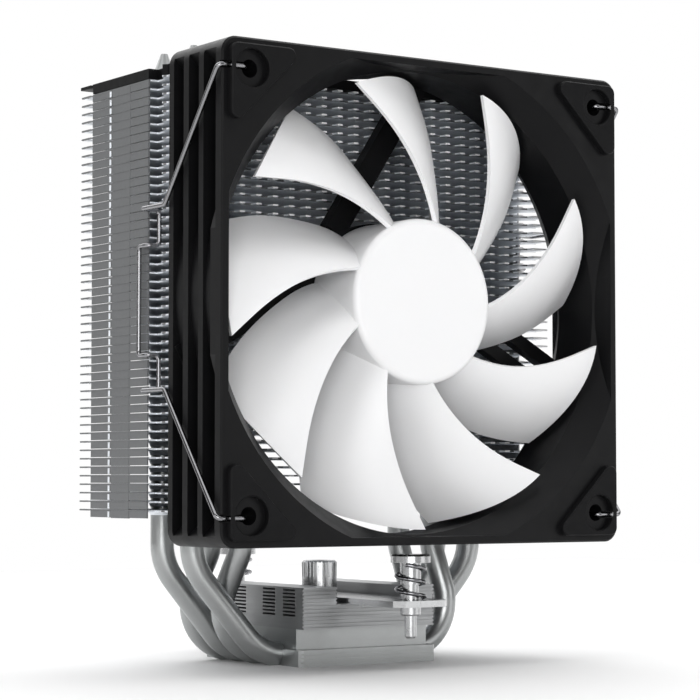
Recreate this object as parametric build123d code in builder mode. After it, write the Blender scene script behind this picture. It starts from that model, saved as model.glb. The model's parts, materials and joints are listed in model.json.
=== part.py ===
"""Tower cooler for a processor: base, four heat pipes, fin stack and a front fan.

Millimetres, +Z up. The contact face lies on z = 0 with its centre at the origin, the fan's
intake faces -Y, and the heat pipes run along X through the base.
"""
from build123d import *
from math import cos, radians, sin
import os

os.makedirs("parts", exist_ok=True)

# ---- fan frame ----
fan_size = 120.0
fan_depth = 25.0
fan_front_y = -49.5
fan_z = 90.7
fan_corner_r = 4.0
frame_edge_chamfer = 0.45
hole_half_pitch = 52.5
hole_r = 2.15
bore_r = 57.6
flare_r = 62.5
flare_depth = 7.0
flare_half_square = 58.0
outlet_start = 20.8
outlet_r = 60.0
outlet_half_square = 58.8
screw_column_r = 4.4
pocket_half_height = 57.6
# front depth, rear depth, radius of the duct's outer wall there
side_pockets = [(2.8, 5.0, 61.8), (5.0, 8.4, 59.6), (10.6, 15.3, 59.5),
                (17.7, 22.4, 59.5)]

# ---- corner pads ----
pad_thickness = 1.9
pad_corner = 58.3
pad_leg_end = 37.6
pad_fillet = 2.0
pad_hole_r = 4.6
pad_edge_chamfer = 0.3

# ---- motor cup, struts and bearing ----
cup_r = 21.0
cup_front = 22.2
strut_front = 21.6
strut_width = 6.0
strut_ends = [((-13.7, 18.1), (12.2, 58.1)), ((-15.0, 8.6), (-58.3, -14.8)),
              ((10.5, -17.0), (29.8, -52.3))]
cable_strut_ends = ((16.0, 5.0), (57.4, -18.2))
cable_strut_width = 10.0
cable_slot_width = 3.2
tube_r = 4.2
tube_front = 6.5
bearing_r = 3.1
bearing_bore_r = 1.53
bearing_front = 7.0
bearing_rear = 21.2
shaft_pocket_depth = 23.6

# ---- rotor ----
hub_r = 20.6
hub_front = 2.4
hub_rear = 21.6
hub_wall = 2.0
hub_nose = 1.8
hub_edge_r = 1.6
blade_count = 9
blade_thickness = 1.1
blade_lead_depth = 2.9
# radius, leading angle, trailing angle, trailing depth, camber (0 flat, 1 full curve)
blade_stations = [
    (19.6, -3.0, -35.0, 20.4, 0.5),
    (27.0, 6.0, -25.0, 20.2, 0.6),
    (35.0, 13.8, -15.5, 19.4, 0.75),
    (43.5, 21.2, -8.0, 18.4, 0.88),
    (50.0, 26.4, -2.6, 17.9, 0.96),
    (56.3, 30.6, 2.2, 17.4, 1.0),
]
shaft_r = 1.5
shaft_front = 3.2
shaft_rear = 23.0
clip_groove_r = 1.2
yoke_r = 18.5
yoke_wall = 0.9
yoke_rear = 19.8
magnet_inner_r = 16.2
magnet_front = 6.5
magnet_rear = 19.0

# ---- stator ----
core_front = 9.5
core_rear = 15.5
core_r = 15.6
core_hub_r = 7.4
core_arm_width = 3.0
core_shoe_wall = 1.6
core_shoe_gap = 3.0
coil_width = 7.2
coil_inner_r = 7.8
coil_outer_r = 13.4
coil_overhang = 1.8
board_front = 20.4
board_rear = 21.4
board_r = 17.6
peg_r = 0.8

# ---- heat pipes ----
pipe_r = 3.0
pipe_z = 2.7
pipe_base_pitch = 7.8
pipe_leg_y = 7.5
outer_leg_x = 43.0
inner_leg_x = 29.6
inner_leg_shift_y = -1.6
outer_corner_x = 25.8
outer_bend_z = 25.2
inner_corner_x = 32.0
inner_bend_low_z = 16.8
inner_bend_high_z = 29.2
base_bend_r = 12.0
outer_bend_r = 15.0
inner_bend_r = 12.0
pipe_shoulder_z = 150.4
pipe_tip_z = 156.0
pipe_tip_r = 0.9
seat_gap = 0.02

# ---- fins and top plate ----
fin_count = 50
fin_pitch = 2.17
fin_thickness = 0.4
fin_bottom_z = 38.8
fin_front_y = -24.2
fin_rear_y = 24.7
fin_side_x = 58.0
fin_tab_front_y = -11.1
fin_tab_rear_y = 18.1
ear_x = 58.2
ear_front_y = -18.3
notch_x = 55.3
notch_front_y = -14.2
top_plate_bottom_z = 145.7
top_plate_top_z = 148.2
top_plate_thickness = 0.8
skirt_rear_y = 18.0

# ---- base ----
base_half_x = 20.0
plate_half_x = 20.9
base_half_y = 23.2
plate_top_z = 4.2
neck_top_z = 9.3
neck_setback = 3.4
block_top_z = 19.7
groove_pitch = 0.9
groove_width = 0.45
groove_depth = 0.5
groove_count = 11
plate_groove_zs = (1.05, 2.1, 3.15)
window_spans = [(-19.2, -13.6), (-9.9, -4.1), (4.1, 9.9), (13.6, 19.2)]
window_bottom_z = 12.2
window_slot_count = 8
window_depth = 6.0
channel_half_x = 10.0
channel_floor_z = 15.4

# ---- mounting bar, post and spring screws ----
bar_half_width = 8.1
bar_half_length = 47.2
bar_thickness = 1.6
bar_chamfer = 2.2
screw_y = 41.0
slot_width = 4.6
slot_length = 6.0
post_r = 4.6
post_top_z = 25.6
post_shank_r = 2.5
post_shank_bottom_z = 10.5
knurl_count = 28
head_r = 4.95
head_bottom_z = 26.2
head_top_z = 28.2
shoulder_r = 2.6
shoulder_bottom_z = 20.8
neck_r = 2.0
retainer_r = 2.55
retainer_bottom_z = 13.1
retainer_top_z = 15.2
thread_r = 1.5
thread_bottom_z = 7.5
spring_mean_r = 3.55
spring_wire_r = 0.5
spring_turns = 2.4

# ---- wire clips ----
clip_wire_r = 0.6
clip_bend_r = 1.2
clip_hook_x = 53.2
clip_hook_z = 53.0
clip_hook_depth = 4.0
clip_front_depth = 0.2
clip_side_x = 60.9
clip_stub_z = 22.3
clip_elbow_depth = 25.0
clip_catch_x = 56.0
clip_catch_depth = 36.3
clip_rise_x = 59.2
clip_rise_depth = 37.3
clip_handle_x = 58.9
clip_handle_depth = 41.2
clip_handle_z = 13.5
clip_groove_width = 1.8
clip_groove_depth = 0.9
clip_tunnel_depth = 1.6

bar_bottom_z = channel_floor_z
bar_top_z = bar_bottom_z + bar_thickness
corners = [(sx * hole_half_pitch, sz * hole_half_pitch) for sx in (-1, 1) for sz in (-1, 1)]
pipe_legs = [(sx * x, sy * pipe_leg_y + shift)
             for sx in (-1, 1) for x, shift in ((inner_leg_x, inner_leg_shift_y), (outer_leg_x, 0))
             for sy in (-1, 1)]


def fan_plane(depth):
    """Plane at a depth behind the fan's front: local x is +X, local y is +Z, normal is -Y."""
    return Plane(origin=(0, fan_front_y + depth, fan_z), x_dir=(1, 0, 0), z_dir=(0, -1, 0))


def fan_point(x, depth, z):
    """A point given across, behind and above the centre of the fan's front."""
    return (x, fan_front_y + depth, fan_z + z)


# ---------------------------------------------------------------- base
with BuildPart() as base_plate:
    with BuildSketch():
        Rectangle(2 * plate_half_x, 2 * base_half_y)
    extrude(amount=plate_top_z)
    chamfer(base_plate.edges().filter_by(Axis.Z), length=1.0)
    with BuildSketch(Plane.XY.offset(plate_top_z)):
        Rectangle(2 * base_half_x, 2 * (base_half_y - neck_setback))
    extrude(amount=neck_top_z - plate_top_z)
    with BuildSketch(Plane.YZ.offset(-plate_half_x)):
        with GridLocations(pipe_base_pitch, 0, 4, 1):
            with Locations((0, pipe_z)):
                Circle(pipe_r + seat_gap)
    extrude(amount=2 * plate_half_x, mode=Mode.SUBTRACT)
    for side in (-1, 1):
        with BuildSketch(Plane.XZ.offset(side * base_half_y)):
            with Locations(*[(0, z) for z in plate_groove_zs]):
                Rectangle(2 * plate_half_x, groove_width)
        extrude(amount=-side * groove_depth, mode=Mode.SUBTRACT)
base_plate.part.label = "base_plate"

with BuildPart() as base_block:
    with BuildSketch(Plane.XY.offset(neck_top_z)):
        Rectangle(2 * base_half_x, 2 * base_half_y)
    extrude(amount=block_top_z - neck_top_z)
    with BuildSketch(Plane.XY.offset(channel_floor_z)):
        Rectangle(2 * channel_half_x, 2 * base_half_y)
    extrude(amount=block_top_z - channel_floor_z, mode=Mode.SUBTRACT)
    with BuildSketch(Plane.XY.offset(post_shank_bottom_z)):
        Circle(post_shank_r)
    extrude(amount=block_top_z - post_shank_bottom_z, mode=Mode.SUBTRACT)
    groove_zs = [neck_top_z + groove_pitch * (k + 0.75) for k in range(groove_count)]
    for side in (-1, 1):
        with BuildSketch(Plane.XZ.offset(side * base_half_y)):
            with Locations(*[(0, z) for z in groove_zs]):
                Rectangle(2 * base_half_x, groove_width)
        extrude(amount=-side * groove_depth, mode=Mode.SUBTRACT)
        slot_zs = [window_bottom_z + groove_pitch * (k + 0.5) for k in range(window_slot_count)]
        with BuildSketch(Plane.YZ.offset(side * base_half_x)):
            for low_y, high_y in window_spans:
                with Locations(*[((low_y + high_y) / 2, z) for z in slot_zs]):
                    Rectangle(high_y - low_y, groove_width)
        extrude(amount=-side * window_depth, mode=Mode.SUBTRACT)
base_block.part.label = "base_block"


# ---------------------------------------------------------------- heat pipes
def leg_points(side, base_y, leg_y, is_outer):
    """Corner points of one leg, from the base's bend up to the pointed end."""
    if is_outer:
        return [(side * outer_corner_x, base_y, pipe_z),
                (side * outer_leg_x, leg_y, outer_bend_z),
                (side * outer_leg_x, leg_y, pipe_shoulder_z)]
    return [(side * inner_corner_x, base_y, pipe_z),
            (side * inner_corner_x, base_y, inner_bend_low_z),
            (side * inner_leg_x, leg_y + inner_leg_shift_y, inner_bend_high_z),
            (side * inner_leg_x, leg_y + inner_leg_shift_y, pipe_shoulder_z)]


def leg_bends(is_outer):
    """Bend radii of one leg, from the base upward."""
    return [base_bend_r, outer_bend_r] if is_outer else [base_bend_r, inner_bend_r, inner_bend_r]


def make_heat_pipe(base_y, leg_y, outer_side):
    """One bent tube: its outer leg stands on outer_side, its inner leg on the other."""
    outer = leg_points(outer_side, base_y, leg_y, True)
    inner = leg_points(-outer_side, base_y, leg_y, False)
    with BuildPart() as pipe:
        with BuildLine():
            FilletPolyline(*reversed(outer), *inner,
                           radius=[*reversed(leg_bends(True)), *leg_bends(False)])
        with BuildSketch(Plane(origin=outer[-1], z_dir=(0, 0, -1))):
            Circle(pipe_r)
        sweep()
        for end in (outer[-1], inner[-1]):
            with BuildSketch(Plane(origin=end)):
                Circle(pipe_r)
            with BuildSketch(Plane(origin=(end[0], end[1], pipe_tip_z))):
                Circle(pipe_tip_r)
            loft()
        with BuildSketch():
            Rectangle(4 * outer_leg_x, 4 * base_half_y)
        extrude(amount=-pipe_r, mode=Mode.SUBTRACT)
    return pipe


heat_pipe_1 = make_heat_pipe(-1.5 * pipe_base_pitch, -pipe_leg_y, -1)
heat_pipe_1.part.label = "heat_pipe_1"
heat_pipe_2 = make_heat_pipe(-0.5 * pipe_base_pitch, -pipe_leg_y, 1)
heat_pipe_2.part.label = "heat_pipe_2"
heat_pipe_3 = make_heat_pipe(0.5 * pipe_base_pitch, pipe_leg_y, -1)
heat_pipe_3.part.label = "heat_pipe_3"
heat_pipe_4 = make_heat_pipe(1.5 * pipe_base_pitch, pipe_leg_y, 1)
heat_pipe_4.part.label = "heat_pipe_4"

# ---------------------------------------------------------------- fins and top plate
right_outline = [
    (0, fin_front_y), (57.3, fin_front_y), (57.3, ear_front_y - 1.1), (ear_x, ear_front_y),
    (notch_x, notch_front_y), (notch_x, fin_tab_front_y), (fin_side_x, fin_tab_front_y), (fin_side_x, fin_tab_rear_y),
    (57.2, fin_tab_rear_y), (57.2, fin_tab_rear_y + 0.8), (fin_side_x, fin_tab_rear_y + 1.2),
    (fin_side_x, fin_rear_y), (0, fin_rear_y),
]

with BuildPart() as fin:
    with BuildSketch():
        with BuildLine():
            Polyline(*right_outline)
            mirror(about=Plane.YZ)
        make_face()
        with Locations(*pipe_legs):
            Circle(pipe_r + seat_gap, mode=Mode.SUBTRACT)
    extrude(amount=fin_thickness)
    with BuildSketch():
        for side in (-1, 1):
            with Locations((side * (fin_side_x - fin_thickness / 2),
                            (fin_tab_front_y + fin_tab_rear_y) / 2)):
                Rectangle(fin_thickness, fin_tab_rear_y - fin_tab_front_y)
    extrude(amount=-(fin_pitch - fin_thickness - 0.1))

with BuildPart() as fin_stack:
    with Locations(*[(0, 0, fin_bottom_z + fin_pitch * k) for k in range(fin_count)]):
        add(fin.part)
fin_stack.part.label = "fin_stack"

with BuildPart() as top_plate:
    with BuildSketch(Plane.XY.offset(top_plate_bottom_z)) as plate_outline:
        with BuildLine():
            Polyline(*right_outline)
            mirror(about=Plane.YZ)
        make_face()
    extrude(amount=top_plate_top_z - top_plate_bottom_z)
    with BuildSketch(Plane.XY.offset(top_plate_bottom_z)):
        add(plate_outline.sketch)
        offset(amount=-top_plate_thickness, kind=Kind.INTERSECTION, mode=Mode.REPLACE)
    extrude(amount=top_plate_top_z - top_plate_thickness - top_plate_bottom_z,
            mode=Mode.SUBTRACT)
    with BuildSketch(Plane.XY.offset(top_plate_bottom_z)):
        with Locations((0, (skirt_rear_y + fin_rear_y) / 2 + 1)):
            Rectangle(4 * ear_x, fin_rear_y - skirt_rear_y + 2)
    extrude(amount=top_plate_top_z - top_plate_thickness - top_plate_bottom_z,
            mode=Mode.SUBTRACT)
    with BuildSketch(Plane.XY.offset(top_plate_bottom_z)):
        with Locations(*pipe_legs):
            Circle(pipe_r + seat_gap)
    extrude(amount=top_plate_top_z - top_plate_bottom_z, mode=Mode.SUBTRACT)
top_plate.part.label = "top_plate"

# ---------------------------------------------------------------- mounting bar and post
with BuildPart() as mounting_bar:
    with BuildSketch(Plane.XY.offset(bar_bottom_z)) as bar_sketch:
        Rectangle(2 * bar_half_width, 2 * bar_half_length)
        chamfer(bar_sketch.vertices(), length=bar_chamfer)
        with Locations((0, -screw_y), (0, screw_y)):
            SlotOverall(slot_length, slot_width, rotation=90, mode=Mode.SUBTRACT)
        Circle(post_shank_r, mode=Mode.SUBTRACT)
    extrude(amount=bar_thickness)
mounting_bar.part.label = "mounting_bar"

with BuildPart() as centre_post:
    with BuildSketch(Plane.XY.offset(post_shank_bottom_z)):
        Circle(post_shank_r)
    extrude(amount=bar_top_z - post_shank_bottom_z)
    with BuildSketch(Plane.XY.offset(bar_top_z)):
        Circle(post_r)
    extrude(amount=post_top_z - bar_top_z)
    chamfer(centre_post.faces().sort_by(Axis.Z)[-1].edges(), length=0.5)
    with BuildSketch(Plane.XY.offset(post_top_z)):
        with PolarLocations(post_r, knurl_count):
            Rectangle(0.5, 0.4)
    extrude(amount=-4.2, mode=Mode.SUBTRACT)
    with BuildSketch(Plane.XY.offset(post_top_z)):
        RegularPolygon(2.3, 6)
    extrude(amount=-2.5, mode=Mode.SUBTRACT)
centre_post.part.label = "centre_post"


# ---------------------------------------------------------------- spring screws
def make_screw(y):
    """Headed screw with a shoulder inside the spring, a plain neck and a threaded tip."""
    with BuildPart() as screw:
        for bottom_z, top_z, radius in ((head_bottom_z, head_top_z, head_r),
                                        (shoulder_bottom_z, head_bottom_z, shoulder_r),
                                        (retainer_bottom_z, shoulder_bottom_z, neck_r),
                                        (thread_bottom_z, retainer_bottom_z, thread_r)):
            with BuildSketch(Plane(origin=(0, y, bottom_z))):
                Circle(radius)
            extrude(amount=top_z - bottom_z)
        chamfer(screw.faces().sort_by(Axis.Z)[-1].edges(), length=0.4)
        chamfer(screw.faces().sort_by(Axis.Z)[0].edges(), length=0.5)
        with BuildSketch(Plane(origin=(0, y, head_top_z))):
            Rectangle(5.6, 1.1)
            Rectangle(1.1, 5.6)
        extrude(amount=-1.4, mode=Mode.SUBTRACT)
    return screw


def make_retainer(y):
    """Collar below the bar that keeps the screw from lifting out."""
    with BuildPart() as retainer:
        with BuildSketch(Plane(origin=(0, y, retainer_bottom_z))):
            Circle(retainer_r)
            Circle(neck_r + seat_gap, mode=Mode.SUBTRACT)
        extrude(amount=retainer_top_z - retainer_bottom_z)
        outer_rim = retainer.faces().sort_by(Axis.Z)[0].edges().sort_by(SortBy.RADIUS)[-1]
        chamfer(outer_rim, length=0.35)
    return retainer


def make_spring(y):
    """Coil between the bar and the screw's head."""
    low = bar_top_z + spring_wire_r
    height = head_bottom_z - spring_wire_r - low
    with BuildPart() as spring:
        with BuildLine(Plane(origin=(0, y, low))) as coil:
            Helix(pitch=height / spring_turns, height=height, radius=spring_mean_r,
                  lefthand=True)
        with BuildSketch(Plane(origin=coil.line @ 0, z_dir=coil.line % 0)):
            Circle(spring_wire_r)
        sweep(is_frenet=True)
    return spring


screw_front = make_screw(-screw_y)
screw_front.part.label = "screw_front"
screw_rear = make_screw(screw_y)
screw_rear.part.label = "screw_rear"
retainer_front = make_retainer(-screw_y)
retainer_front.part.label = "retainer_front"
retainer_rear = make_retainer(screw_y)
retainer_rear.part.label = "retainer_rear"
spring_front = make_spring(-screw_y)
spring_front.part.label = "spring_front"
spring_rear = make_spring(screw_y)
spring_rear.part.label = "spring_rear"

# ---------------------------------------------------------------- fan frame
with BuildPart() as inlet_flare:
    with BuildSketch(fan_plane(0)):
        Circle(flare_r)
    with BuildSketch(fan_plane(flare_depth)):
        Circle(bore_r)
    loft()
    with BuildSketch(fan_plane(0)):
        Rectangle(2 * flare_half_square, 2 * flare_half_square)
    extrude(amount=-flare_depth, mode=Mode.INTERSECT)

with BuildPart() as outlet_flare:
    with BuildSketch(fan_plane(outlet_start)):
        Circle(bore_r)
    with BuildSketch(fan_plane(fan_depth)):
        Circle(outlet_r)
    loft()
    with BuildSketch(fan_plane(outlet_start)):
        Rectangle(2 * outlet_half_square, 3 * outlet_half_square)
    extrude(amount=outlet_start - fan_depth, mode=Mode.INTERSECT)

with BuildPart() as fan_frame:
    with BuildSketch(fan_plane(0)):
        RectangleRounded(fan_size, fan_size, fan_corner_r)
        Circle(bore_r, mode=Mode.SUBTRACT)
        with Locations(*corners):
            Circle(hole_r, mode=Mode.SUBTRACT)
    extrude(amount=-fan_depth)
    for end_face in (fan_frame.faces().sort_by(Axis.Y)[0], fan_frame.faces().sort_by(Axis.Y)[-1]):
        chamfer(end_face.outer_wire().edges(), length=frame_edge_chamfer)
    add(inlet_flare.part, mode=Mode.SUBTRACT)
    add(outlet_flare.part, mode=Mode.SUBTRACT)
    for near, far, wall_r in side_pockets:
        with BuildSketch(fan_plane(near)):
            for side in (-1, 1):
                with BuildLine():
                    Polyline((side * 61, pocket_half_height + 1), (side * 61, -pocket_half_height - 1),
                             (side * 36, 24 - pocket_half_height),
                             (side * 36, pocket_half_height - 24), close=True)
                make_face()
            Circle(wall_r, mode=Mode.SUBTRACT)
            with Locations(*corners):
                Circle(screw_column_r, mode=Mode.SUBTRACT)
        extrude(amount=near - far, mode=Mode.SUBTRACT)
    with BuildSketch(fan_plane(0)):
        for sx in (-1, 1):
            for sz in (-1, 1):
                with Locations((sx * (clip_hook_x + fan_size / 2) / 2, sz * clip_hook_z)):
                    Rectangle(fan_size / 2 - clip_hook_x, clip_groove_width)
    extrude(amount=-clip_groove_depth, mode=Mode.SUBTRACT)
    with BuildSketch(fan_plane(cup_front)):
        Circle(cup_r)
    extrude(amount=cup_front - fan_depth)
    with BuildSketch(fan_plane(strut_front)):
        for inner_end, outer_end in strut_ends:
            with BuildLine():
                Line(inner_end, outer_end)
            trace(line_width=strut_width)
        with BuildLine():
            Line(*cable_strut_ends)
        trace(line_width=cable_strut_width)
        Circle(cup_r - 2, mode=Mode.SUBTRACT)
    extrude(amount=strut_front - fan_depth)
    (inner_x, inner_z), (outer_x, outer_z) = cable_strut_ends
    with BuildSketch(fan_plane(strut_front)):
        with BuildLine():
            Line((inner_x + 0.45 * (outer_x - inner_x), inner_z + 0.45 * (outer_z - inner_z)),
                 (inner_x + 0.93 * (outer_x - inner_x), inner_z + 0.93 * (outer_z - inner_z)))
        trace(line_width=cable_slot_width)
    extrude(amount=strut_front - fan_depth, mode=Mode.SUBTRACT)
    with BuildSketch(fan_plane(tube_front)):
        Circle(tube_r)
    extrude(amount=tube_front - cup_front)
    with BuildSketch(fan_plane(tube_front)):
        Circle(bearing_r)
    extrude(amount=tube_front - shaft_pocket_depth, mode=Mode.SUBTRACT)
fan_frame.part.label = "fan_frame"

with BuildPart() as corner_pads:
    with BuildSketch(fan_plane(0)):
        for sx in (-1, 1):
            for sz in (-1, 1):
                with BuildLine():
                    FilletPolyline((sx * pad_corner, sz * pad_corner),
                                   (sx * pad_leg_end, sz * pad_corner),
                                   (sx * pad_corner, sz * pad_leg_end),
                                   radius=pad_fillet, close=True)
                make_face()
        with Locations(*corners):
            Circle(pad_hole_r, mode=Mode.SUBTRACT)
    extrude(amount=pad_thickness)
    chamfer(corner_pads.faces().sort_by(Axis.Y)[:len(corners)].edges(), length=pad_edge_chamfer)
    with BuildSketch(fan_plane(0)):
        for sx in (-1, 1):
            for sz in (-1, 1):
                with Locations((sx * (clip_hook_x + fan_size / 2) / 2, sz * clip_hook_z)):
                    Rectangle(fan_size / 2 - clip_hook_x, clip_groove_width)
    extrude(amount=clip_tunnel_depth, mode=Mode.SUBTRACT)
corner_pads.part.label = "corner_pads"


# ---------------------------------------------------------------- rotor
def blade_point(station, t):
    """A point of the blade's front skin at fraction t from leading to trailing edge."""
    radius, lead_angle, trail_angle, trail_depth, camber = station
    angle = radians(lead_angle + (trail_angle - lead_angle) * t)
    fall = (1 - camber) * t + camber * t * t
    depth = blade_lead_depth + (trail_depth - blade_lead_depth) * fall
    return Vector(*fan_point(radius * cos(angle), depth, radius * sin(angle)))


blade_skin = Face.make_surface_from_array_of_points(
    [[blade_point(station, k / 6) for k in range(7)] for station in blade_stations])

with BuildPart() as rotor:
    with BuildSketch(fan_plane(hub_front)):
        Circle(hub_r)
    extrude(amount=hub_front - hub_rear)
    fillet(rotor.faces().sort_by(Axis.Y)[0].edges(), radius=hub_edge_r)
    with BuildSketch(fan_plane(hub_front + hub_nose)):
        Circle(hub_r - hub_wall)
    extrude(amount=hub_front + hub_nose - hub_rear, mode=Mode.SUBTRACT)
    with BuildPart(mode=Mode.PRIVATE) as blade:
        thicken(blade_skin, amount=blade_thickness)
    axle = Axis(fan_point(0, 0, 0), (0, 1, 0))
    add([blade.part.rotate(axle, 360 / blade_count * k) for k in range(blade_count)])
    with BuildSketch(fan_plane(hub_front + hub_nose)):
        Circle(hub_r - hub_wall)
    extrude(amount=hub_front + hub_nose - fan_depth, mode=Mode.SUBTRACT)
    with BuildSketch(fan_plane(shaft_front)):
        Circle(shaft_r)
    extrude(amount=shaft_front - fan_depth, mode=Mode.SUBTRACT)
rotor.part.label = "rotor"

with BuildPart() as rotor_yoke:
    with BuildSketch(fan_plane(hub_front + hub_nose)):
        Circle(yoke_r)
        Circle(shaft_r, mode=Mode.SUBTRACT)
    extrude(amount=hub_front + hub_nose - yoke_rear)
    with BuildSketch(fan_plane(hub_front + hub_nose + yoke_wall)):
        Circle(yoke_r - yoke_wall)
    extrude(amount=hub_front + hub_nose + yoke_wall - yoke_rear, mode=Mode.SUBTRACT)
rotor_yoke.part.label = "rotor_yoke"

with BuildPart() as magnet_ring:
    with BuildSketch(fan_plane(magnet_front)):
        Circle(yoke_r - yoke_wall)
        Circle(magnet_inner_r, mode=Mode.SUBTRACT)
    extrude(amount=magnet_front - magnet_rear)
magnet_ring.part.label = "magnet_ring"

clip_groove_front = bearing_rear + 0.3
clip_groove_rear = clip_groove_front + 0.5

with BuildPart() as rotor_shaft:
    with BuildSketch(fan_plane(shaft_front)):
        Circle(shaft_r)
    extrude(amount=shaft_front - shaft_rear)
    with BuildSketch(fan_plane(clip_groove_front)):
        Circle(shaft_r)
        Circle(clip_groove_r, mode=Mode.SUBTRACT)
    extrude(amount=clip_groove_front - clip_groove_rear, mode=Mode.SUBTRACT)
rotor_shaft.part.label = "rotor_shaft"

with BuildPart() as shaft_clip:
    with BuildSketch(fan_plane(clip_groove_front)):
        Circle(bearing_r - 0.5)
        Circle(clip_groove_r, mode=Mode.SUBTRACT)
    extrude(amount=clip_groove_front - clip_groove_rear)
shaft_clip.part.label = "shaft_clip"

with BuildPart() as bearing:
    with BuildSketch(fan_plane(bearing_front)):
        Circle(bearing_r)
        Circle(bearing_bore_r, mode=Mode.SUBTRACT)
    extrude(amount=bearing_front - bearing_rear)
bearing.part.label = "bearing"

# ---------------------------------------------------------------- stator
with BuildPart() as stator_core:
    with BuildSketch(fan_plane(core_front)):
        Circle(core_r)
        Circle(core_r - core_shoe_wall, mode=Mode.SUBTRACT)
        for angle in (45, 135):
            Rectangle(2 * core_r, core_shoe_gap, rotation=angle, mode=Mode.SUBTRACT)
        for angle in (0, 90):
            Rectangle(2 * core_r - core_shoe_wall, core_arm_width, rotation=angle)
        Circle(core_hub_r)
        Circle(tube_r, mode=Mode.SUBTRACT)
    extrude(amount=core_front - core_rear)
stator_core.part.label = "stator_core"

with BuildPart() as stator_coils:
    with BuildSketch(fan_plane(core_front - coil_overhang)):
        with PolarLocations((coil_inner_r + coil_outer_r) / 2, 4):
            Rectangle(coil_outer_r - coil_inner_r, coil_width)
    extrude(amount=core_front - core_rear - 2 * coil_overhang)
    with BuildSketch(fan_plane(core_front)):
        for angle in (0, 90):
            Rectangle(2 * core_r, core_arm_width, rotation=angle)
    extrude(amount=core_front - core_rear, mode=Mode.SUBTRACT)
stator_coils.part.label = "stator_coils"

with BuildPart() as insulator:
    with BuildSketch(fan_plane(core_rear)):
        Circle(core_hub_r)
        Circle(tube_r, mode=Mode.SUBTRACT)
    extrude(amount=-1.2)
    with BuildSketch(fan_plane(core_rear + 1.2)):
        with PolarLocations(core_hub_r - 1.2, 4, start_angle=45):
            Circle(peg_r)
    extrude(amount=core_rear + 1.2 - board_front)
insulator.part.label = "insulator"

with BuildPart() as circuit_board:
    with BuildSketch(fan_plane(board_front)):
        Circle(board_r)
        Circle(tube_r + 0.2, mode=Mode.SUBTRACT)
    extrude(amount=board_front - board_rear)
    with BuildSketch(fan_plane(board_rear)):
        with PolarLocations(12, 3, start_angle=30):
            Rectangle(3, 5)
    extrude(amount=board_rear - cup_front)
circuit_board.part.label = "circuit_board"


# ---------------------------------------------------------------- wire clips
def clip_half(side, half):
    """Corner points of one half of a clip, from the hook in the hole to the handle."""
    points = [(clip_hook_x, clip_hook_depth, clip_hook_z),
              (clip_hook_x, clip_front_depth, clip_hook_z),
              (clip_side_x, clip_front_depth, clip_hook_z),
              (clip_side_x, clip_elbow_depth, clip_stub_z),
              (clip_side_x, clip_catch_depth, clip_stub_z),
              (clip_catch_x, clip_catch_depth, clip_stub_z),
              (clip_catch_x, clip_catch_depth, clip_handle_z),
              (clip_rise_x, clip_rise_depth, clip_handle_z),
              (clip_handle_x, clip_handle_depth, clip_handle_z)]
    return [fan_point(side * x, depth, half * z) for x, depth, z in points]


def make_clip(side):
    """Bent wire that hooks into two fan holes and catches in the notch of the fins."""
    points = clip_half(side, 1) + clip_half(side, -1)[::-1]
    with BuildPart() as clip:
        with BuildLine():
            FilletPolyline(*points, radius=clip_bend_r)
        with BuildSketch(Plane(origin=points[0], z_dir=(0, -1, 0))):
            Circle(clip_wire_r)
        sweep()
    return clip


clip_left = make_clip(-1)
clip_left.part.label = "clip_left"
clip_right = make_clip(1)
clip_right.part.label = "clip_right"

# ---------------------------------------------------------------- output
for sub_part in (base_plate, base_block, heat_pipe_1, heat_pipe_2, heat_pipe_3, heat_pipe_4,
                 fin_stack, top_plate, mounting_bar, centre_post, screw_front, screw_rear,
                 retainer_front, retainer_rear, spring_front, spring_rear, fan_frame,
                 corner_pads, rotor, rotor_yoke, magnet_ring, rotor_shaft, shaft_clip, bearing,
                 stator_core, stator_coils, insulator, circuit_board, clip_left, clip_right):
    export_step(sub_part.part, f"parts/{sub_part.part.label}.step")
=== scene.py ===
"""Looks for the tower cooler: serrated fins, moulded fan, nickel pipes, wire and screws."""
import json
from math import cos, radians, sin

import bmesh
import bpy
from mathutils import Matrix, Vector


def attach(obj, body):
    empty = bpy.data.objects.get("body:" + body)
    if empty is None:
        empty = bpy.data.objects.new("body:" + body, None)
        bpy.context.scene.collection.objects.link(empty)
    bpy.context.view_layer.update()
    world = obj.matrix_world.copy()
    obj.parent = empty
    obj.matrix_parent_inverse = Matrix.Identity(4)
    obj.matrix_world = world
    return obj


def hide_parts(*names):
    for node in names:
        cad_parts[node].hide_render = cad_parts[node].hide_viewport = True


MM = 0.001
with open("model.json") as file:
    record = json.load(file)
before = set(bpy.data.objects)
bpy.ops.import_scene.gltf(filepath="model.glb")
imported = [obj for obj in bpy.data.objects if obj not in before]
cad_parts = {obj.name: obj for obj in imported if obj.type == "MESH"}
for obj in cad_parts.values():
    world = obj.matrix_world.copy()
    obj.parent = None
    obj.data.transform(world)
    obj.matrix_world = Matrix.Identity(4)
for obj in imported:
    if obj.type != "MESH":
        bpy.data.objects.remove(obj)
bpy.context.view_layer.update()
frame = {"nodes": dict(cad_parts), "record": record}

# ---- places in millimetres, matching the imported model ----
FIN_COUNT = 50
FIN_PITCH = 2.17
FIN_THICKNESS = 0.4
FIN_BOTTOM_Z = 38.8
FIN_FRONT_Y = -24.2
FIN_REAR_Y = 24.7
TOOTH_PITCH = 4.85
TOOTH_DEPTH = 2.4
TEETH_EACH_SIDE = 11
SIDE_X = 58.0
CORNER_X = 57.3
CORNER_REAR_Y = -19.4
EAR_X = 58.2
EAR_Y = -18.3
NOTCH_X = 55.3
NOTCH_FRONT_Y = -14.2
TAB_FRONT_Y = -11.1
TAB_REAR_Y = 18.1
TAB_DROP = 1.6
NICK_X = 57.2
NICK_LENGTH = 0.8
NICK_SLOPE = 0.4
REAR_CORNER_CUT = 0.4
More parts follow.
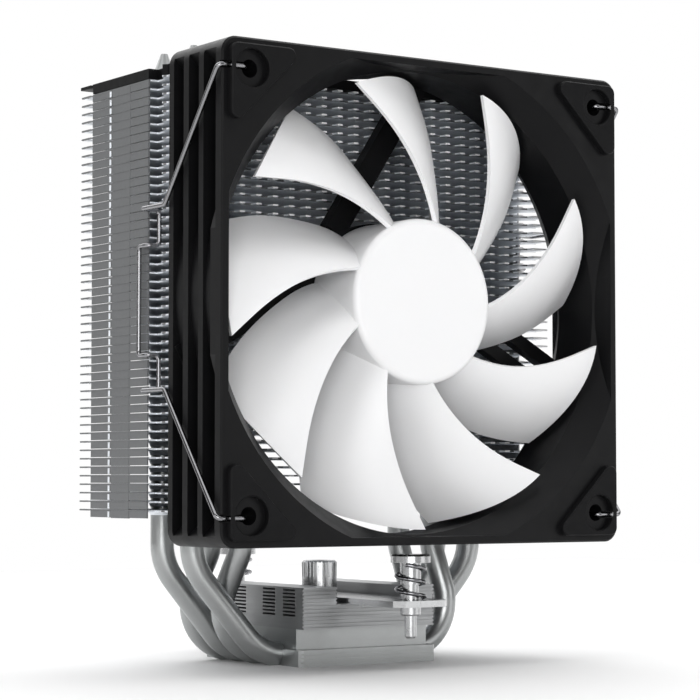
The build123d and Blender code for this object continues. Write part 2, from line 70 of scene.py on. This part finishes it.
LUG_INNER_X = 57.62
LUG_OUTER_X = 58.05
LUG_FRONT_Y = -1.9
LUG_REAR_Y = 7.2
LUG_DROP = 1.74
RIB_R = 0.55
RIB_HEIGHT = 1.45
RIB_PLACE = (57.75, 8.35, -0.8)
PIPE_R = 3.0
PIPE_LEG_Y = 7.5
INNER_LEG_X = 29.6
INNER_LEG_SHIFT_Y = -1.6
OUTER_LEG_X = 43.0
COLLAR_TOP_GAP = 0.55
COLLAR_FOOT_GAP = 0.12
COLLAR_HEIGHT = 1.1
COLLAR_Z = -0.54
OVERLAP = 0.02
PIPE_LEGS = [(side * x, end * PIPE_LEG_Y + shift) for side in (-1, 1)
             for x, shift in ((INNER_LEG_X, INNER_LEG_SHIFT_Y), (OUTER_LEG_X, 0))
             for end in (-1, 1)]

# half of one tooth, from the middle of its tip to the middle of the recess beside it:
# across in millimetres, and in from the edge as a share of the tooth's depth
HALF_TOOTH = [(0, 0), (0.75, 0), (0.85, 0.6), (1.1, 0.9), (1.5, 1), (TOOTH_PITCH / 2, 1)]


# ---------------------------------------------------------------- finishes
def new_finish(name, color, roughness, metallic=0.0):
    """A material with its shader set up, and the place coordinates to pattern it by."""
    finish = bpy.data.materials.new(name)
    finish.use_nodes = True
    nodes = finish.node_tree.nodes
    shader = nodes["Principled BSDF"]
    shader.inputs["Base Color"].default_value = (*color, 1)
    shader.inputs["Roughness"].default_value = roughness
    shader.inputs["Metallic"].default_value = metallic
    place = nodes.new("ShaderNodeTexCoord")
    return finish, shader, place.outputs["Object"]


def grain(finish, place, scale, stretch=(1, 1, 1), detail=3.0):
    """Noise at a number of grains per metre, drawn out along axes whose stretch is below 1."""
    nodes, links = finish.node_tree.nodes, finish.node_tree.links
    mapping = nodes.new("ShaderNodeMapping")
    mapping.inputs["Scale"].default_value = stretch
    noise = nodes.new("ShaderNodeTexNoise")
    noise.inputs["Scale"].default_value = scale
    noise.inputs["Detail"].default_value = detail
    links.new(place, mapping.inputs["Vector"])
    links.new(mapping.outputs["Vector"], noise.inputs["Vector"])
    return noise.outputs["Fac"]


def spread(finish, value, low, high):
    """Spread the middle half of a 0 to 1 pattern over a range of values."""
    nodes, links = finish.node_tree.nodes, finish.node_tree.links
    ramp = nodes.new("ShaderNodeMapRange")
    ramp.inputs["From Min"].default_value = 0.25
    ramp.inputs["From Max"].default_value = 0.75
    ramp.inputs["To Min"].default_value = low
    ramp.inputs["To Max"].default_value = high
    links.new(value, ramp.inputs["Value"])
    return ramp.outputs["Result"]


def tint(finish, shader, value, dark, light):
    """Colour that drifts between two close shades with a pattern."""
    nodes, links = finish.node_tree.nodes, finish.node_tree.links
    mix = nodes.new("ShaderNodeMix")
    mix.data_type = "RGBA"
    mix.inputs["A"].default_value = (*dark, 1)
    mix.inputs["B"].default_value = (*light, 1)
    links.new(value, mix.inputs["Factor"])
    links.new(mix.outputs["Result"], shader.inputs["Base Color"])


def relief(finish, shader, value, depth_mm, strength=1.0):
    """Raise the surface a little by a pattern."""
    nodes, links = finish.node_tree.nodes, finish.node_tree.links
    bump = nodes.new("ShaderNodeBump")
    bump.inputs["Strength"].default_value = strength
    bump.inputs["Distance"].default_value = depth_mm * MM
    links.new(value, bump.inputs["Height"])
    links.new(bump.outputs["Normal"], shader.inputs["Normal"])


def vary_roughness(finish, shader, value, low, high):
    """Roughness that wanders between two values."""
    links = finish.node_tree.links
    links.new(spread(finish, value, low, high), shader.inputs["Roughness"])


def black_moulding():
    """Fan frame: matt black plastic with a fine spark-eroded grain."""
    finish, shader, place = new_finish("black_moulding", (0.004, 0.004, 0.0045), 0.5)
    shader.inputs["Specular IOR Level"].default_value = 0.16
    sparks = grain(finish, place, 4200, detail=2.0)
    relief(finish, shader, sparks, 0.012, 0.35)
    vary_roughness(finish, shader, grain(finish, place, 260), 0.38, 0.5)
    tint(finish, shader, grain(finish, place, 90),
         (0.0035, 0.0035, 0.004), (0.005, 0.005, 0.0055))
    return finish


def pad_rubber():
    """Corner pads: soft rubber, duller than the frame."""
    finish, shader, place = new_finish("pad_rubber", (0.005, 0.005, 0.0055), 0.6)
    shader.inputs["Specular IOR Level"].default_value = 0.15
    relief(finish, shader, grain(finish, place, 2600, detail=4.0), 0.02, 0.4)
    vary_roughness(finish, shader, grain(finish, place, 400), 0.52, 0.68)
    return finish


def white_moulding():
    """Rotor: satin white plastic with slight sink and flow marks."""
    finish, shader, place = new_finish("white_moulding", (0.85, 0.85, 0.86), 0.38)
    shader.inputs["Subsurface Weight"].default_value = 0.06
    shader.inputs["Subsurface Radius"].default_value = (0.0012, 0.0011, 0.001)
    vary_roughness(finish, shader, grain(finish, place, 320), 0.32, 0.42)
    tint(finish, shader, grain(finish, place, 45), (0.84, 0.84, 0.85), (0.86, 0.86, 0.865))
    relief(finish, shader, grain(finish, place, 1500), 0.004, 0.25)
    return finish


def band(finish, place, axis, start, end):
    """1 inside a band along one axis, mirrored either side of the middle, and 0 outside it."""
    nodes, links = finish.node_tree.nodes, finish.node_tree.links
    split = nodes.new("ShaderNodeSeparateXYZ")
    links.new(place, split.inputs["Vector"])
    distance = nodes.new("ShaderNodeMath")
    distance.operation = "ABSOLUTE"
    links.new(split.outputs[axis], distance.inputs[0])
    near = nodes.new("ShaderNodeMath")
    near.operation = "COMPARE"
    near.inputs[1].default_value = (start + end) / 2 * MM
    near.inputs[2].default_value = (end - start) / 2 * MM
    links.new(distance.outputs["Value"], near.inputs[0])
    return near.outputs["Value"]


def layer(finish, value, under, over):
    """Lay one shade over another where a mask is 1."""
    nodes, links = finish.node_tree.nodes, finish.node_tree.links
    mix = nodes.new("ShaderNodeMix")
    mix.data_type = "RGBA"
    mix.inputs["B"].default_value = (*over, 1)
    links.new(value, mix.inputs["Factor"])
    links.new(under, mix.inputs["A"])
    return mix.outputs["Result"]


def fin_sheet():
    """Fins: rolled aluminium, with painted shade in the recesses and on the folded sides and
    painted highlights at the tips.
    """
    finish, shader, place = new_finish("fin_sheet", (0.86, 0.89, 0.93), 0.36, 0.3)
    links = finish.node_tree.links
    lines = grain(finish, place, 900, stretch=(0.06, 1, 1), detail=4.0)
    vary_roughness(finish, shader, lines, 0.3, 0.45)
    tint(finish, shader, grain(finish, place, 60), (0.82, 0.85, 0.89), (0.88, 0.91, 0.95))
    relief(finish, shader, lines, 0.006, 0.3)
    shade = shader.inputs["Base Color"].links[0].from_socket
    # painted shade: the recess floors of the serrated edges are darkened to stand in for the
    # shadow that falls in them
    recesses = band(finish, place, "Y", 21.5, 22.1)
    shade = layer(finish, recesses, shade, (0.08, 0.085, 0.09))
    # painted shade: the folded sides are darkened to stand in for the shade on them; the sheet
    # is the same aluminium there
    folds = band(finish, place, "X", 57.5, 58.08)
    shade = layer(finish, folds, shade, (0.17, 0.175, 0.18))
    # painted highlight: the flat tips of the teeth are made near white and less metallic to
    # stand in for the glints they catch
    tips = band(finish, place, "Y", 24.05, 26)
    shade = layer(finish, tips, shade, (0.95, 0.95, 0.95))
    links.new(spread(finish, tips, 0.3, 0), shader.inputs["Metallic"])
    links.new(shade, shader.inputs["Base Color"])
    return finish


def nickel_plate():
    """Heat pipes: nickel over copper tube, with a faint mottle."""
    finish, shader, place = new_finish("nickel_plate", (0.47, 0.475, 0.48), 0.24, 1.0)
    mottle = grain(finish, place, 700)
    vary_roughness(finish, shader, mottle, 0.3, 0.38)
    tint(finish, shader, grain(finish, place, 80), (0.37, 0.38, 0.38), (0.41, 0.42, 0.42))
    relief(finish, shader, mottle, 0.002, 0.12)
    return finish


def milled_aluminium():
    """Base: milled aluminium with fine level cutter lines."""
    finish, shader, place = new_finish("milled_aluminium", (0.34, 0.345, 0.35), 0.34, 1.0)
    lines = grain(finish, place, 1800, stretch=(0.04, 0.04, 1))
    vary_roughness(finish, shader, lines, 0.3, 0.46)
    tint(finish, shader, grain(finish, place, 70), (0.31, 0.315, 0.32), (0.37, 0.375, 0.38))
    relief(finish, shader, lines, 0.006, 0.35)
    return finish


def plated_steel():
    """Bar, post and screws: zinc plate, brushed along the cooler's depth."""
    finish, shader, place = new_finish("plated_steel", (0.5, 0.505, 0.51), 0.22, 1.0)
    lines = grain(finish, place, 1500, stretch=(1, 0.05, 0.3))
    vary_roughness(finish, shader, lines, 0.17, 0.3)
    relief(finish, shader, lines, 0.005, 0.3)
    return finish


def spring_wire():
    """Clips and springs: bright drawn wire."""
    finish, shader, place = new_finish("spring_wire", (0.27, 0.27, 0.28), 0.28, 1.0)
    vary_roughness(finish, shader, grain(finish, place, 900), 0.15, 0.27)
    return finish


def black_powder_coat():
    """Top plate: fine black powder coat with its orange-peel skin."""
    finish, shader, place = new_finish("black_powder_coat", (0.004, 0.004, 0.0045), 0.45)
    shader.inputs["Specular IOR Level"].default_value = 0.14
    relief(finish, shader, grain(finish, place, 1600, detail=2.0), 0.02, 0.4)
    vary_roughness(finish, shader, grain(finish, place, 500), 0.4, 0.55)
    return finish


def plain_inner(name, color, roughness, metallic=0.0, grains=900):
    """A finish for the motor's inner pieces, with a light grain."""
    finish, shader, place = new_finish(name, color, roughness, metallic)
    pattern = grain(finish, place, grains)
    vary_roughness(finish, shader, pattern, roughness * 0.85, min(1, roughness * 1.2))
    relief(finish, shader, pattern, 0.01, 0.3)
    return finish


finishes = {
    "black_plastic": black_moulding(),
    "black_rubber": pad_rubber(),
    "white_plastic": white_moulding(),
    "fin_aluminium": fin_sheet(),
    "nickel": nickel_plate(),
    "base_aluminium": milled_aluminium(),
    "steel": plated_steel(),
    "spring_steel": spring_wire(),
    "black_coating": black_powder_coat(),
    "magnet": plain_inner("ferrite", (0.04, 0.038, 0.038), 0.55),
    "nylon": plain_inner("natural_nylon", (0.72, 0.7, 0.62), 0.45),
    "bronze": plain_inner("sintered_bronze", (0.6, 0.42, 0.22), 0.38, 1.0, 3000),
    "copper": plain_inner("enamelled_wire", (0.72, 0.3, 0.14), 0.3, 1.0, 1800),
    "board": plain_inner("board_lacquer", (0.015, 0.11, 0.04), 0.3),
}
slot_of_node = {entry["node"]: entry["material_slot"]
                for entry in frame["record"]["subparts"]}
for node_name, node in frame["nodes"].items():
    node.data.materials.clear()
    node.data.materials.append(finishes[slot_of_node[node_name]])


# ---------------------------------------------------------------- new pieces
def keep_piece(name, mesh, slot, body, replaced, smooth_angle):
    """Turn a bmesh in millimetres into a finished piece that rides on its body."""
    bmesh.ops.scale(mesh, vec=(MM, MM, MM), verts=mesh.verts)
    data = bpy.data.meshes.new(name)
    mesh.to_mesh(data)
    mesh.free()
    data.materials.append(finishes[slot])
    piece = bpy.data.objects.new(name, data)
    bpy.context.scene.collection.objects.link(piece)
    data.shade_smooth()
    data.set_sharp_from_angle(angle=radians(smooth_angle))
    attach(piece, body)
    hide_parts(*replaced)


def edge_chain(mesh, points):
    """Join flat points into an open chain of edges."""
    verts = [mesh.verts.new((x, y, 0)) for x, y in points]
    for first, second in zip(verts, verts[1:]):
        mesh.edges.new((first, second))


def tooth_row(mesh, y, inward):
    """One serrated edge: flat tips with round recesses between them."""
    start = len(mesh.verts)
    x = -TEETH_EACH_SIDE * TOOTH_PITCH
    other_half = [(TOOTH_PITCH - across, deep) for across, deep in HALF_TOOTH[-2::-1]]
    whole = HALF_TOOTH + other_half
    edge_chain(mesh, [(x + across, y + inward * deep * TOOTH_DEPTH) for across, deep in whole])
    mesh.verts.ensure_lookup_table()
    tooth = mesh.verts[start:]
    bmesh.ops.spin(mesh, geom=tooth + [e for e in mesh.edges if e.verts[0] in tooth],
                   cent=(0, 0, 0), axis=(0, 0, 1), dvec=(TOOTH_PITCH, 0, 0), angle=0,
                   steps=2 * TEETH_EACH_SIDE - 1, use_duplicate=True)


def block(mesh, low, high):
    """Add a small box between two corners."""
    size = Vector(high) - Vector(low)
    middle = (Vector(high) + Vector(low)) / 2
    place = Matrix.Translation(middle) @ Matrix.Diagonal((*size, 1))
    bmesh.ops.create_cube(mesh, size=1, matrix=place)


def fold_side(mesh, side):
    """The folded side of one fin: a plain wall, a deeper lug over it, and an upright rib."""
    for inner, outer, front, rear, drop in (
            (SIDE_X - FIN_THICKNESS, SIDE_X, TAB_FRONT_Y, TAB_REAR_Y, TAB_DROP),
            (LUG_INNER_X, LUG_OUTER_X, LUG_FRONT_Y, LUG_REAR_Y, LUG_DROP)):
        xs = sorted((side * inner, side * outer))
        block(mesh, (xs[0], front, -drop), (xs[1], rear, OVERLAP))
    x, y, z = RIB_PLACE
    bmesh.ops.create_cone(mesh, segments=10, radius1=RIB_R, radius2=RIB_R, depth=RIB_HEIGHT,
                          cap_ends=True, matrix=Matrix.Translation((side * x, y, z)))


def fin_sheet_mesh():
    """One fin: serrated front and rear, eared corners, wire notches, folds and collars."""
    mesh = bmesh.new()
    tooth_row(mesh, FIN_FRONT_Y, 1)
    tooth_row(mesh, FIN_REAR_Y, -1)
    end_x = TEETH_EACH_SIDE * TOOTH_PITCH
    nick_y = TAB_REAR_Y + NICK_LENGTH
    corner = [(end_x, FIN_FRONT_Y), (CORNER_X, FIN_FRONT_Y), (CORNER_X, CORNER_REAR_Y),
              (EAR_X, EAR_Y), (NOTCH_X, NOTCH_FRONT_Y), (NOTCH_X, TAB_FRONT_Y),
              (SIDE_X, TAB_FRONT_Y), (SIDE_X, TAB_REAR_Y), (NICK_X, TAB_REAR_Y),
              (NICK_X, nick_y), (SIDE_X, nick_y + NICK_SLOPE),
              (SIDE_X, FIN_REAR_Y - REAR_CORNER_CUT), (SIDE_X - REAR_CORNER_CUT, FIN_REAR_Y),
              (end_x, FIN_REAR_Y)]
    for side in (-1, 1):
        edge_chain(mesh, [(side * x, y) for x, y in corner])
    bmesh.ops.remove_doubles(mesh, verts=mesh.verts, dist=0.001)
    bmesh.ops.contextual_create(mesh, geom=mesh.edges[:])
    lifted = bmesh.ops.extrude_face_region(mesh, geom=mesh.faces[:])["geom"]
    bmesh.ops.translate(mesh, vec=(0, 0, FIN_THICKNESS),
                        verts=[v for v in lifted if isinstance(v, bmesh.types.BMVert)])
    for side in (-1, 1):
        fold_side(mesh, side)
    for x, y in PIPE_LEGS:
        bmesh.ops.create_cone(mesh, segments=18, radius1=PIPE_R + COLLAR_FOOT_GAP,
                              radius2=PIPE_R + COLLAR_TOP_GAP, depth=COLLAR_HEIGHT,
                              cap_ends=True, matrix=Matrix.Translation((x, y, COLLAR_Z)))
    bmesh.ops.recalc_face_normals(mesh, faces=mesh.faces)
    return mesh


def fins():
    """The whole stack, one fin repeated up the pipes."""
    mesh = fin_sheet_mesh()
    bmesh.ops.translate(mesh, vec=(0, 0, FIN_BOTTOM_Z), verts=mesh.verts)
    bmesh.ops.spin(mesh, geom=mesh.verts[:] + mesh.edges[:] + mesh.faces[:], cent=(0, 0, 0),
                   axis=(0, 0, 1), dvec=(0, 0, FIN_PITCH), angle=0, steps=FIN_COUNT - 1,
                   use_duplicate=True)
    keep_piece("fins", mesh, "fin_aluminium", "heatsink", ["fin_stack"], smooth_angle=35)


fins()


# ---------------------------------------------------------------- studio, in metres
FLOOR_SIZE = 1.1
FAR_SIDE = (0.56, 0.83, 0)
NEAR_SHADE = 0.14
FAR_SHADE = 1.0
LIGHT_TARGET = (0, -0.01, 0.08)
# name, place, side of the square, watts
LIGHTS = [("key", (-0.7, -1.2, 0.14), 0.9, 11),
          ("strip", (-1.25, -0.35, 0.35), 0.35, 1.5),
          ("fill", (0.9, -1.1, 0.3), 0.7, 2.5),
          ("above", (0.1, 0.25, 1.2), 2.6, 34)]
CAMERA_PLACE = (-0.34488, -0.5222, 0.04694)
CAMERA_TURN = 34.177
CAMERA_RISE = 3.093
CAMERA_LENS = 122.417


def studio():
    """Pale floor, square soft lights and a surround that is palest on the far side."""
    bpy.ops.mesh.primitive_plane_add(size=FLOOR_SIZE)
    floor = bpy.context.object
    floor.name = "floor"
    paint, shader, _ = new_finish("pale_floor", (0.9, 0.9, 0.9), 0.75)
    shader.inputs["Specular IOR Level"].default_value = 0.1
    floor.data.materials.append(paint)
    world = bpy.data.worlds.new("surround")
    bpy.context.scene.world = world
    world.use_nodes = True
    nodes, links = world.node_tree.nodes, world.node_tree.links
    toward = nodes.new("ShaderNodeTexCoord")
    facing = nodes.new("ShaderNodeVectorMath")
    facing.operation = "DOT_PRODUCT"
    facing.inputs[1].default_value = FAR_SIDE
    fade = nodes.new("ShaderNodeMapRange")
    fade.inputs["From Min"].default_value = 0.2
    fade.inputs["From Max"].default_value = 0.75
    fade.inputs["To Min"].default_value = NEAR_SHADE
    fade.inputs["To Max"].default_value = FAR_SHADE
    links.new(toward.outputs["Generated"], facing.inputs[0])
    links.new(facing.outputs["Value"], fade.inputs["Value"])
    links.new(fade.outputs["Result"], nodes["Background"].inputs["Color"])
    for name, place, size, power in LIGHTS:
        lamp = bpy.data.lights.new(name, "AREA")
        lamp.shape = "SQUARE"
        lamp.size = size
        lamp.energy = power
        holder = bpy.data.objects.new(name, lamp)
        holder.location = place
        aim = Vector(LIGHT_TARGET) - Vector(place)
        holder.rotation_euler = aim.to_track_quat("-Z", "Y").to_euler()
        bpy.context.scene.collection.objects.link(holder)
    bpy.context.scene.view_settings.view_transform = "Standard"


def place_camera():
    """Low camera to the left of the fan, looking slightly up."""
    turn, rise = radians(CAMERA_TURN), radians(CAMERA_RISE)
    lens = bpy.data.cameras.new("camera")
    lens.lens = CAMERA_LENS
    lens.sensor_width = 36
    lens.clip_start = 0.05
    camera = bpy.data.objects.new("camera", lens)
    camera.location = CAMERA_PLACE
    gaze = Vector((sin(turn) * cos(rise), cos(turn) * cos(rise), sin(rise)))
    camera.rotation_euler = gaze.to_track_quat("-Z", "Y").to_euler()
    bpy.context.scene.collection.objects.link(camera)
    bpy.context.scene.camera = camera


studio()
place_camera()
